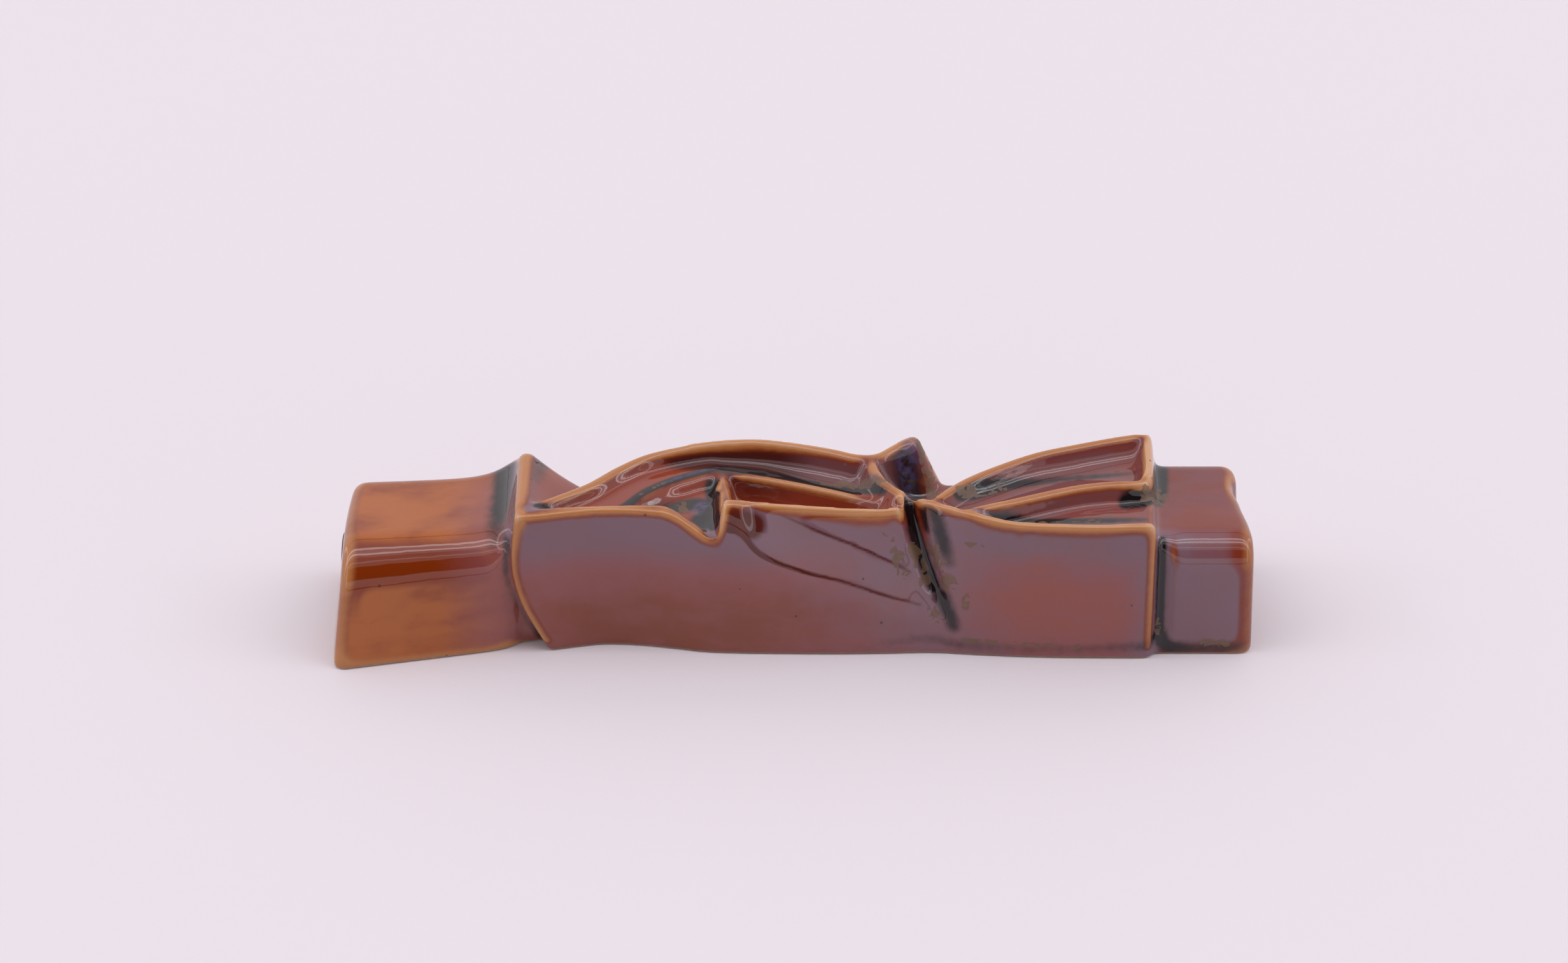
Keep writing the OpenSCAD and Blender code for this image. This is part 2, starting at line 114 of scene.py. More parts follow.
# Near side, by x: its foot, the height at which the flap slopes most and how steeply, how far the curl
# leans back at the top, and the height of the top edge
NEAR_FOOT = [(-41, -11.6), (-36, -11.6), (-30, -10.3), (-26, -9.6), (-21, -9.9), (-16, -10.8),
             (-10, -11.8), (4.6, -12.15), (13.5, -12), (20, -11.8), (26.4, -12.4), (35, -13),
             (46.7, -13.2), (52, -13.1)]
FLAP_BULGE = [(-10, 26.9), (-8.7, 26), (-6.9, 24.4), (-4.1, 20), (1.2, 16.4), (6.5, 14.4), (12.2, 11.8),
              (17.6, 9.8), (30, 5.9)]
FLAP_SLOPE = [(-12, 1), (-8.7, 0.9), (-6.9, 0.7), (-4.1, 0.37), (1.2, 0.24), (6.5, 0.21), (12.2, 0.19),
              (30, 0.17)]
CURL_LEAN = [(10, 12), (12.6, 10.2), (15.6, 6.6), (19, 4.4), (22.8, 2.4), (25.6, 1.2), (28, 0.5),
             (31, 0.1), (34, 0), (60, 0)]
NEAR_EDGE = [(-60, 22.2), (-22, 22.1), (-17.1, 22), (-13.5, 20), (-11.4, 18.5), (-10.3, 18.9),
             (-9.7, 21.5), (-9.2, 23.4), (-4.3, 22.7), (1.4, 22.2), (8.9, 21.8), (14.4, 21.8), (17, 22),
             (25, 22), (28.2, 21.8), (34, 21.5), (60, 21.5)]

# Far side, by x: its foot, and how far it leans in at the front plane
FAR_FOOT = [(-41, 10.4), (-30, 10.9), (0, 11.3), (30, 11.8), (45, 12.4), (51, 12.5)]
FAR_LEAN = [(-60, 0), (-37, 0), (-24, 4.8), (-20, 3.9), (-17, 2.6), (-14.6, 1.8), (-9.5, 0.7),
            (-4.3, 0.5), (1.5, 1.9), (6.4, 3.7), (9.1, 5), (11.6, 5.1), (14.1, 2.7), (16.6, 0.4), (20, 0),
            (60, 0)]

# Where the relief's lower end lies along x, at each height, and where its upper end lies in the middle
LOWER_EDGE = [(0, -34), (4.5, -36.2), (8, -37.7), (12, -38.7), (15, -38.9), (19, -38.5), (22.3, -38.1)]
RELIEF_END = 51.0


# ---------------------------------------------------------------- shaping the ceramic

def spline(points, steps=12):
    """Smooth line through the points, with that many steps to a span."""
    p = np.array(points, float)
    ends = np.vstack([2 * p[0] - p[1], p, 2 * p[-1] - p[-2]])
    t = np.arange(steps)[:, None] / steps
    spans = []
    for a, b, c, d in zip(ends, ends[1:], ends[2:], ends[3:]):
        curve = 2 * b + (c - a) * t + (2 * a - 5 * b + 4 * c - d) * t**2 + (3 * b - a - 3 * c + d) * t**3
        spans.append(0.5 * curve)
    return np.vstack(spans + [p[-1:]])


def along(points, at):
    """Value at each place of the smooth curve through (place, value) points."""
    s = spline(points)
    return np.interp(at, s[:, 0], s[:, 1])


def nearest(line, x, y):
    """Distance in plan from each (x, y) to the line, and the line's height there."""
    best = np.full(x.shape, FAR_AWAY)
    height = np.zeros(x.shape)
    for a, b in zip(line, line[1:]):
        run = b[:2] - a[:2]
        t = np.clip(((x - a[0]) * run[0] + (y - a[1]) * run[1]) / max(run @ run, 1e-9), 0, 1)
        distance = np.hypot(x - a[0] - t * run[0], y - a[1] - t * run[1])
        closer = distance < best
        best = np.where(closer, distance, best)
        height = np.where(closer, a[2] + t * (b[2] - a[2]), height)
    return best, height


def is_inside(outline, x, y):
    """True where (x, y) lies inside the closed outline."""
    result = np.zeros(x.shape, bool)
    for a, b in zip(outline, np.roll(outline, -1, axis=0)):
        if a[1] == b[1]:
            continue
        crosses = (a[1] > y) != (b[1] > y)
        result ^= crosses & (x < a[0] + (y - a[1]) * (b[0] - a[0]) / (b[1] - a[1]))
    return result


def recess_height(x, y, floor, edges):
    """Height of one recess: its floor, with a wall that falls away from each of its edges."""
    lines = [(smooth_line(line), slope, depth) for line, slope, depth in edges]
    height = np.full(x.shape, float(floor))
    for line, slope, depth in lines:
        height = np.maximum(height, wall_height(x, y, line, slope, depth, RIM_HALF_WIDTH))
    outline = np.vstack([line[:, :2] for line, _, _ in lines])
    return np.where(is_inside(outline, x, y), height, FAR_AWAY)


def smooth_line(line):
    """The line as it is if it has two points, else a smooth one."""
    return spline(line) if len(line) > 2 else np.array(line, float)


def wall_height(x, y, line, slope, depth, half_width):
    """Height of a wall that falls away from the line, whose rim is flat to half_width on each side."""
    distance, rim = nearest(line, x, y)
    return rim - depth * np.tanh(slope * np.maximum(distance - half_width, 0) / depth)


def fold_cap(y):
    """Height of the fold at the lower end, which slopes down towards the far side."""
    return FOLD_TOP - 0.95 * np.maximum(y - 5.6, 0)


def relief_height(x, y):
    """Height of the relief's front at each (x, y), with its recesses."""
    height = np.where(y < 0, along(NEAR_EDGE, x), FRONT + 0.2)
    height = np.minimum(height, np.where(x < -30, fold_cap(y), FAR_AWAY))
    recesses = [recess_height(x, y, floor, edges) for floor, edges in RECESSES]
    arch = recesses[0]
    ridge = wall_height(x, y, spline(RIDGE), 1.5, 3, 0.1)
    recesses[0] = np.where(arch < FAR_AWAY, np.maximum(arch, ridge), arch)
    return np.minimum(height, np.min(recesses, axis=0))


def flap_lean(x, z):
    """How far the flap leans back at height z: most steeply at its bulge, and a little up to its rim."""
    half_height = 3.8
    bulge = along(FLAP_BULGE, x)
    above = np.maximum(z - bulge + 5, 0)
    steep = half_height * along(FLAP_SLOPE, x) * (np.tanh((z - bulge) / half_height) + 1)
    lean = 0.16 * above**2 / (above + 1) + steep
    return lean * np.clip((x + 10.2) / 0.9, 0, 1)


def near_side(x, z):
    """The near side: the flap, the slanting flute beside it, and the curl beyond."""
    foot = along(NEAR_FOOT, x) + 0.3 * np.clip(z, 0, FRONT) / FRONT
    flute_left = 15.2 + (FRONT - z) * 0.15
    flute_right = 20.4 + (FRONT - z) * 0.19
    flap = foot + flap_lean(x, z)
    curl = foot + along(CURL_LEAN, x) * (np.clip(z - 2, 0, 24) / 20) ** 2
    reach = 2.5 * np.maximum(x - flute_left, 0)
    across = np.clip((x - flute_left) / (flute_right - flute_left), 0, 1)
    flute = 5 * np.clip((z - 1.5) / 10, 0, 1) * across * (1 - across) ** 2
    groove = 1.6 * np.exp(-(((x - 15.9 - (FRONT - z) * 0.34) / 1.1) ** 2)) * np.clip((z - 5) / 5, 0, 1)
    return np.where(x < flute_left, flap, np.clip(curl, flap - reach, flap + reach) + groove) + flute


def far_side(x, z):
    """The far side, whose upper half leans in behind the arch and the crest."""
    lean = along(FAR_LEAN, x) * np.clip((z - 8) / 14, 0, 1.6) ** 1.35
    return along(FAR_FOOT, x) - 0.3 * np.clip(z, 0, FRONT) / FRONT - lean


def steepness(height):
    """Length of the surface normal of a height map, to turn heights into distances."""
    gx, gy = np.gradient(height, VOXEL)
    return np.sqrt(1 + np.minimum(gx**2 + gy**2, 36))


def rounded(a, b, radius):
    """Intersection of two solids whose shared edge is rounded."""
    u, v = a + radius, b + radius
    corner = np.hypot(np.maximum(u, 0), np.maximum(v, 0)) - radius
    return np.where((u > 0) & (v > 0), corner, np.maximum(a, b))


def joined(a, b, blend):
    """Union of two solids with a soft cove between them."""
    t = np.clip(0.5 + 0.5 * (b - a) / blend, 0, 1)
    return b * (1 - t) + a * t - blend * t * (1 - t)


def relief_solid(xs, ys, zs):
    """The folded middle of the case: below its front, between its two sides and its two ends."""
    top = relief_height(*np.meshgrid(xs, ys, indexing="ij"))
    near = near_side(xs[:, None], zs[None])
    far = far_side(xs[:, None], zs[None])
    y = ys[None, :, None]
    solid = (zs[None, None] - top[:, :, None]) / steepness(top)[:, :, None]
    solid = np.maximum(solid, (near[:, None] - y) / steepness(near)[:, None])
    solid = np.maximum(solid, (y - far[:, None]) / steepness(far)[:, None])
    solid = rounded(solid, along(LOWER_EDGE, zs)[None, None] - xs[:, None, None], 0.6)
    return rounded(solid, xs[:, None, None] - RELIEF_END - 0.055 * y, 0.7)


def lower_block(x, y, z):
    """The plain lower end: bent towards the near side, flared at its foot, rising to the relief's fold."""
    t = np.clip((x + 64) / 22, 0, 1.3)
    up = z / 16.4
    cove = 1.5 * np.exp(-np.maximum(-38 - x, 0) / 1.3)
    near = -16.6 + 5.1 * t + up * (3.9 * (1 - t) + 0.7 * t) + cove
    far = 10.9 - 0.2 * t - up * (1.9 * (1 - t) + 0.2 * t)
    rise = 5.6 * np.exp(-np.maximum(-37.8 - x, 0) / (1 + 0.085 * np.clip(y + 10, 0, 20)))
    top = np.minimum(LOWER_TOP + rise, fold_cap(y))
    near_radius = 5.6 - 4.2 * np.clip((x + 41.5) / 3.5, 0, 1)
    solid = np.maximum(rounded(z - top, near - y, near_radius), rounded(z - top, y - far, 3))
    end = LOWER_END + 2.2 * up + 0.35 * ((y + 2) / 9) ** 2
    solid = rounded(solid, end - x, 1.6)
    return np.maximum(solid, x - along(LOWER_EDGE, z) - 1.5)


def upper_block(x, y, z):
    """The plain upper end, hollowed across its end, with the nail notch in its front edge."""
    groove = 0.8 * np.exp(-(((x - 51.5) / 0.9) ** 2)) * np.clip((z - 0.5) / 3, 0, 1)
    near = -12 + z / 17 + groove
    far = 12.3 - 0.2 * z / 17
    near_radius = 4.3 - 2.3 * np.clip((54 - x) / 2.5, 0, 1)
    solid = np.maximum(rounded(z - UPPER_TOP, near - y, near_radius), rounded(z - UPPER_TOP, y - far, 2.6))
    hollow = 1.1 * np.exp(-(((y - 2) / 5.5) ** 2)) + 1.3 * np.clip((y - 4) / 8, 0, 1)
    solid = rounded(solid, x - (UPPER_END - 0.25 * z / 17 - hollow), 1.8)
    notch = 1 - np.sqrt(((x - 63.6) / 1.4) ** 2 + ((y - 4.8) / 2.9) ** 2 + ((z - 17.3) / 3.6) ** 2)
    return np.maximum(rounded(solid, notch, 0.3), 47 - x)


def blurred(field, width):
    """Gaussian blur of the grid, width in millimetres."""
    sigma = width / VOXEL
    reach = int(np.ceil(3 * sigma))
    weights = np.exp(-0.5 * (np.arange(-reach, reach + 1) / sigma) ** 2)
    weights /= weights.sum()
    for axis in range(3):
        padding = [(0, 0)] * 3
        padding[axis] = (reach, reach)
        padded = np.pad(field, padding, mode="edge")
        total = np.zeros_like(field)
        for start, weight in enumerate(weights):
            window = [slice(None)] * 3
            window[axis] = slice(start, start + field.shape[axis])
            total += weight * padded[tuple(window)]
        field = total
    return field


def case_grid():
    """Signed distance to the ceramic on a grid, negative inside it, and the grid's three axes."""
    xs = np.arange(-67, 67, VOXEL)
    ys = np.arange(-18.4, 15.5, VOXEL)
    zs = np.arange(-1.8, 26.2, VOXEL)
    x, y, z = np.meshgrid(xs, ys, zs, indexing="ij", sparse=True)
    field = joined(relief_solid(xs, ys, zs), lower_block(x, y, z), 0.8)
    field = joined(field, upper_block(x, y, z), 1.2)
    field = blurred(np.clip(field, -3, 3), 0.34)
    field = rounded(field, -z + 0 * x + 0 * y, 0.5)
    wall = BORE_RADIUS - np.hypot(y, z - BORE_AXIS_Z)
    bore = np.minimum(wall, BLIND_END - x)
    return rounded(field, bore, 0.5), (xs, ys, zs)


def sampled(field, axes, points):
    """Grid values at the points, by trilinear interpolation."""
    origin = np.array([axis[0] for axis in axes])
    place = (points - origin) / VOXEL
    cell = np.clip(np.floor(place).astype(int), 0, np.array(field.shape) - 2)
    part = place - cell
    total = np.zeros(len(points))
    for corner in np.ndindex(2, 2, 2):
        weight = np.prod(np.where(corner, part, 1 - part), axis=1)
        total += weight * field[tuple((cell + corner).T)]
    return total


def new_object(name, points, faces, material):
    """Mesh object from points in millimetres."""
    mesh = bpy.data.meshes.new(name)
    mesh.from_pydata((np.asarray(points) * MM).tolist(), [], faces)
    mesh.shade_smooth()
    mesh.materials.append(material)
    piece = bpy.data.objects.new(name, mesh)
    bpy.context.collection.objects.link(piece)
    return piece


def add_attribute(piece, name, values):
    """Value for each vertex, which a material reads by its name."""
    attribute = piece.data.attributes.new(name, "FLOAT", "POINT")
    attribute.data.foreach_set("value", np.asarray(values, np.float32))


# ---------------------------------------------------------------- painting the ceramic

# Soft strokes of what lies in the glaze, and of dark reflections and shade painted on it: each a line of
# (a, b, strength) with its reach. On the front a and b are x and y; on the near side they are x and z.

# Where the glaze pools dark; strokes marked below also paint a dark reflection over it
POOLS_AND_DARK_REFLECTION_IN_FRONT = [
    ([(-35, -8.2, 0.9), (-30, -7.4, 1), (-24, -5.6, 1), (-20.5, -1, 0.9), (-16.5, 2.4, 1), (-12, 4.9, 1),
      (-9.7, 6, 1), (-5, 5.7, 1), (1.6, 3.9, 1), (9.3, 0.7, 0.9), (13.2, -2.4, 1)], 0.75),
    ([(-13, -7.5, 1), (-11.2, -3.5, 1), (-13.5, -1.5, 0.8), (-19, -4, 0.7)], 1.9),
    ([(-10.9, 2.5, 1), (-10.6, -8, 1)], 1.2),
    ([(23, -3.6, 1), (27, -0.9, 1), (31, 1.4, 0.7), (37, 3.5, 0.5), (43, 4.6, 0.5), (48.3, 5.4, 0.4)], 0.9),
    ([(28, -9.2, 1), (31.6, -8, 0.9), (38, -7.4, 0.7), (44.4, -7.2, 0.6), (49, -7, 0.4)], 1.0),
    ([(46.8, -3, 0.9), (49.5, -2, 1), (51.4, 1, 0.9), (52.2, 6, 0.9), (52.4, 13, 1)], 1.2),
    # the two crest strokes: glaze pooled in the crest's scoop, with a painted dark reflection under its rim
    ([(16.4, 8.3, 0.4), (18, 12.5, 0.5)], 2.4),
    ([(16.6, 7, 0.65), (18.3, 2.5, 0.7), (20.3, -1, 0.9)], 3.0),
    ([(-40.3, 10.5, 0.8), (-40.3, 3, 0.75), (-40.7, -4, 0.6), (-41, -8, 0.35)], 2.1),
    ([(-35.6, 0, 0.3), (-35, 9, 0.6)], 1.5),
]
POOLS_SHADE_AND_REFLECTION_ON_NEAR_SIDE = [
    # the first four strokes: glaze pooled in the flute, with a painted dark reflection in its groove
    ([(15.9, 22, 1), (16.9, 18, 1), (18.2, 14, 1), (20, 9.6, 0.9)], 0.85),
    ([(19.8, 21, 0.55), (21, 17, 0.6), (21.8, 14.5, 0.4)], 1.5),
    ([(18, 21.5, 0.7), (18.9, 18, 0.5)], 0.9),
    ([(21, 8.6, 0.7), (22.6, 4.8, 0.55)], 1.4),
    ([(51.3, 17, 0.9), (51.4, 3, 0.9)], 0.7),
    # the two strokes along the foot: glaze pooled there, with painted contact shade
    ([(51.4, 3, 0.8), (52.6, 1.4, 0.7), (56, 1.1, 0.5), (63, 1.1, 0.45)], 1.3),
    ([(8, 1, 0.15), (18, 2.5, 0.3), (25, 1.6, 0.35), (38, 1.6, 0.3), (50, 2.2, 0.4)], 1.3),
    ([(-39.4, 17, 0.5), (-39.5, 12, 0.4), (-38.5, 8, 0.3), (-36.8, 3.5, 0.35), (-35.2, 1, 0.5)], 0.8),
]
# Painted dark reflections on the near side, where its painted pale reflection gives way
DARK_REFLECTIONS_ON_NEAR_SIDE = [
    ([(-8.8, 19.9, 1), (-6.9, 19.2, 1), (-4.1, 15.9, 1), (1.2, 13.4, 0.8), (6.5, 11.8, 0.6),
      (12.2, 9.6, 0.5), (18, 7.6, 0.4)], 0.33),
    ([(-8.2, 21.6, 1), (-5.2, 19.8, 1)], 1.5),
    ([(-2, 21.2, 0.35), (5.1, 17.9, 0.55), (10, 15.8, 0.55), (16.5, 12.2, 0.45)], 0.3),
]
# Where pale crystals lie in it
CRYSTALS_IN_FRONT = [
    ([(4, 3.9, 0.6), (6.5, 3.2, 0.8), (9.3, 1.6, 0.9), (12.6, -1, 0.8)], 0.75),
    ([(-21, -1.6, 0.6), (-17, 2.4, 0.6)], 0.5),
    ([(-15.5, -1.3, 0.8), (-15, -4, 0.7)], 1.0),
    ([(23.5, -3.2, 0.9), (30, 0.8, 0.7)], 0.7),
    ([(30, -8.6, 0.7), (36, -7.7, 0.75), (44.4, -7.3, 0.75)], 0.6),
    ([(49.8, -2, 0.9), (51.3, -0.4, 1), (52.3, 2.6, 0.9)], 1.2),
    ([(19, 10, 1), (20.6, 7.3, 1), (20.6, 2, 1), (18.5, 3, 0.6)], 1.3),
]
CRYSTALS_ON_NEAR_SIDE = [
    ([(17, 15.5, 0.9), (17.9, 12.8, 1), (18.7, 10.6, 1)], 0.9),
    ([(19.8, 15.5, 0.9), (21.1, 13, 1), (21.9, 11, 1)], 1.25),
    ([(14.6, 15, 0.7), (15.2, 13.9, 1), (15.6, 12, 0.7)], 1.1),
    ([(12.5, 18.5, 0.6), (14, 17, 0.6)], 0.7),
    ([(18.2, 8, 0.9), (20.4, 5.6, 1)], 0.9),
    ([(24.4, 9.6, 0.8), (24.1, 7.8, 0.9)], 0.6),
    ([(24, 17.3, 0.5), (26.5, 17.6, 0.5)], 0.7),
    ([(24, 2.5, 0.65), (40, 2.1, 0.65)], 0.5),
    ([(51.3, 4.8, 1), (51.6, 3.6, 1)], 0.8),
    ([(57.5, 1.9, 0.8), (60.8, 1.9, 0.8)], 0.7),
]
# Where it shows a thin rainbow film
RAINBOWS_IN_FRONT = [
    ([(11, 0.5, 1), (11.8, 0.1, 1)], 0.8),
    ([(-13.2, -3.6, 1), (-12.4, -1.6, 1)], 1.1),
    ([(-18.6, 1, 0.8), (-15, 3.6, 0.8), (-10.5, 6, 0.7)], 0.5),
    ([(16.2, 7.2, 1), (17.4, 9.8, 1)], 1.7),
    ([(28, -9.4, 0.7), (31, -8, 0.7)], 0.6),
]
RAINBOWS_ON_NEAR_SIDE = [
    ([(18.7, 13, 0.5), (19.6, 11, 0.5)], 0.5),
]


def painted(strokes, a, b):
    """Strength of the strokes at each (a, b)."""
    total = np.zeros(len(a))
    for line, reach in strokes:
        distance, strength = nearest(smooth_line(line), a, b)
        total = np.maximum(total, strength * np.exp(-((distance / reach) ** 2)))
    return total


def faces_far_side(points, normals):
    """1 on the outside of the far wall."""
    return np.clip((normals[:, 1] - 0.3) / 0.3, 0, 1) * (points[:, 1] > 1)


def paint(piece, name, points, normals, in_front, on_near_side):
    """Vertex attribute of the strokes, each on the side for which it is meant."""
    faces_near = np.clip((-normals[:, 1] - 0.15) / 0.3, 0, 1) * (points[:, 1] < -4)
    faces_front = np.clip((normals[:, 2] - 0.1) / 0.2, 0, 1) * (points[:, 2] > 12)
    faces_front = faces_front * (1 - faces_far_side(points, normals))
    front = faces_front * painted(in_front, points[:, 0], points[:, 1])
    near = faces_near * painted(on_near_side, points[:, 0], points[:, 2])
    add_attribute(piece, name, np.maximum(front, near))


def make_case(material):
    """The ceramic body, with values at its vertices for the glaze to read."""
    field, axes = case_grid()
    grid = openvdb.FloatGrid(3.0)
    grid.copyFromArray(field.astype(np.float32))
    points, quads = grid.convertToQuads(isovalue=0.0)
    points = points * VOXEL + np.array([axis[0] for axis in axes])
    piece = new_object("glazed_case", points, quads.tolist(), material)
    slopes = np.gradient(blurred(field, 0.3), VOXEL)
    normals = np.stack([sampled(slope, axes, points) for slope in slopes], axis=1)
    normals /= np.linalg.norm(normals, axis=1)[:, None]
    piece.data.normals_split_custom_set_from_vertices(normals.tolist())
    level = sampled(field, axes, points)
    add_attribute(piece, "rim", sampled(blurred(field, 0.6), axes, points) - level)
    add_attribute(piece, "swell", sampled(blurred(field, 1.3), axes, points) - level)
    paint(piece, "pool", points, normals, POOLS_AND_DARK_REFLECTION_IN_FRONT, POOLS_SHADE_AND_REFLECTION_ON_NEAR_SIDE)
    # painted dark reflections on the flap, kept in the 'clear' attribute
    paint(piece, "clear", points, normals, [], DARK_REFLECTIONS_ON_NEAR_SIDE)
    paint(piece, "crystals", points, normals, CRYSTALS_IN_FRONT, CRYSTALS_ON_NEAR_SIDE)
    paint(piece, "rainbow", points, normals, RAINBOWS_IN_FRONT, RAINBOWS_ON_NEAR_SIDE)
    add_attribute(piece, "far_side", faces_far_side(points, normals))
    return piece


# ---------------------------------------------------------------- the stopper, the scroll and its sleeve

STOPPER_OUT = -63.2     # outer end of the stopper
STOPPER_LENGTH = 9.5
STOPPER_STEP = 0.14     # spacing of the grid on which the stopper is shaped
RIB_RADIUS = 4.95
RIB_CENTRES = (1.35, 4.3, 7.3)
CORE_RADIUS = 4.65
GRIP_RADIUS = 3.65
GRIP_DEPTH = 2.5
SCROLL_START = -53.4
SCROLL_LENGTH = 100.0


def make_stopper(material):
    """Soft rubber bung: three rounded ribs, and a bar to pull across its two finger pockets."""
    axes = [np.arange(STOPPER_OUT - 0.7, STOPPER_OUT + STOPPER_LENGTH + 0.7, STOPPER_STEP),
            np.arange(-5.6, 5.7, STOPPER_STEP), np.arange(-5.6, 5.7, STOPPER_STEP)]
    x, y, z = np.meshgrid(*axes, indexing="ij", sparse=True)
    x = x - STOPPER_OUT
    radius = np.hypot(y, z)
    ribs = sum(np.exp(-(((x - centre) / 0.72) ** 4)) for centre in RIB_CENTRES)
    solid = rounded(radius - CORE_RADIUS - (RIB_RADIUS - CORE_RADIUS) * ribs, -x + 0 * radius, 0.45)
    solid = rounded(solid, x - STOPPER_LENGTH, 0.5)
    bar = 0.8 + 0.05 * radius
    pocket = np.maximum(np.maximum(radius - GRIP_RADIUS, x - GRIP_DEPTH), bar - np.abs(y) + 0 * x)
    bar_top = np.maximum(np.maximum(radius - GRIP_RADIUS, x - 0.3), np.abs(y) - bar)
    solid = rounded(solid, -pocket, 0.25)
    solid = rounded(solid, -bar_top, 0.12)
    grid = openvdb.FloatGrid(1.0)
    grid.copyFromArray(np.clip(solid, -1, 1).astype(np.float32))
    points, quads = grid.convertToQuads(isovalue=0.0)
    points = points * STOPPER_STEP + np.array([axis[0] for axis in axes]) + [0, 0, BORE_AXIS_Z]
    return new_object("rubber_stopper", points, quads.tolist(), material)


def sheet_tube(name, radius_at, turns, per_turn, rows, thickness, material):
    """Closed thin sheet wound round the bore's axis; radius_at(turn, share) is its outer face's radius."""
    columns = int(turns * per_turn) + 1
    turn = np.linspace(0, turns, columns)[None]
    share = np.linspace(0, 1, rows)[:, None]
    outer = radius_at(turn, share)
    angle = 2 * math.pi * turn + 0 * share
    x = SCROLL_START + SCROLL_LENGTH * share + edge_wander(turn, share)
    layers = []
    for radius in (outer, outer - thickness):
        layers.append(np.stack([x, radius * np.cos(angle), BORE_AXIS_Z + radius * np.sin(angle)], axis=2))
    points = np.concatenate([layer.reshape(-1, 3) for layer in layers])
    below = rows * columns
    at = np.arange(below).reshape(rows, columns)
    faces = []
    for row in range(rows - 1):
        for column in range(columns - 1):
            quad = [at[row, column], at[row + 1, column], at[row + 1, column + 1], at[row, column + 1]]
            faces.append(quad[::-1])
            faces.append([corner + below for corner in quad])
    border = list(at[0]) + list(at[1:, -1]) + list(at[-1, -2::-1]) + list(at[-2:0:-1, 0])
    for a, b in zip(border, border[1:] + border[:1]):
        faces.append([a, a + below, b + below, b])
    faces = [[int(corner) for corner in face] for face in faces]
    return new_object(name, points, faces, material)


def edge_wander(turn, share):
    """The turns of a rolled sheet never end quite level."""
    inward = np.where(share < 0.5, 1, -1) * np.abs(2 * share - 1) ** 6
    return inward * (0.35 + 0.3 * np.sin(2.1 * turn + 3 * share) + 0.05 * np.sin(31 * turn))


def make_scroll(material):
    """Parchment rolled five turns, a little loosely."""
    def radius_at(turn, share):
        sway = 0.05 * np.sin(4 * math.pi * turn + 5 * share) * np.minimum(turn, 1)
        return 3.95 - 0.44 * turn + sway
    return sheet_tube("rolled_parchment", radius_at, 5, 40, 26, 0.22, material)


def make_sleeve(material):
    """Crinkled film wound once round the scroll, with its end tucked under."""
    def radius_at(turn, share):
        crinkle = 0.009 * np.sin(40 * turn + 9 * share) * np.sin(70 * share + 12 * turn)
        return 4.2 - 0.1 * np.clip(turn, 0, 1) + crinkle
    return sheet_tube("clear_sleeve", radius_at, 1.12, 96, 60, 0.06, material)


# ---------------------------------------------------------------- materials

class Nodes:
    """Short calls that build a node tree."""

    def __init__(self, tree):
        self.tree = tree

    def put(self, socket, value):
        if isinstance(value, bpy.types.NodeSocket):
            self.tree.links.new(value, socket)
        elif socket.type == "RGBA":
            socket.default_value = rgba(value)
        else:
            socket.default_value = value

    def add(self, kind, inputs=None, **settings):
        node = self.tree.nodes.new("ShaderNode" + kind)
        for name, value in settings.items():
            setattr(node, name, value)
        for name, value in (inputs or {}).items():
            self.put(node.inputs[name], value)
        return node

    def math(self, operation, *values):
        return self.add("Math", dict(enumerate(values)), operation=operation).outputs[0]

    def vector(self, operation, *values, result=0):
        return self.add("VectorMath", dict(enumerate(values)), operation=operation).outputs[result]

    def between(self, value, start, end, low=0.0, high=1.0):
        """low up to start, high from end, and smooth between them."""
        inputs = {"Value": value, "From Min": start, "From Max": end, "To Min": low, "To Max": high}
        return self.add("MapRange", inputs, interpolation_type="SMOOTHSTEP").outputs[0]

    def mix(self, amount, below, above):
        inputs = {"Fac": amount, "Color1": below, "Color2": above}
        return self.add("MixRGB", inputs).outputs[0]

    def ramp(self, value, stops):
        """Colour at each value from (value, colour) stops."""
        node = self.add("ValToRGB", {"Fac": value})
        elements = node.color_ramp.elements
        elements[0].position, elements[-1].position = stops[0][0], stops[-1][0]
        elements[0].color, elements[-1].color = rgba(stops[0][1]), rgba(stops[-1][1])
        for position, colour in stops[1:-1]:
            elements.new(position).color = rgba(colour)
        return node.outputs[0]


def rgba(colour):
    return tuple(colour) + (1.0,) if isinstance(colour, tuple) else (colour, colour, colour, 1.0)


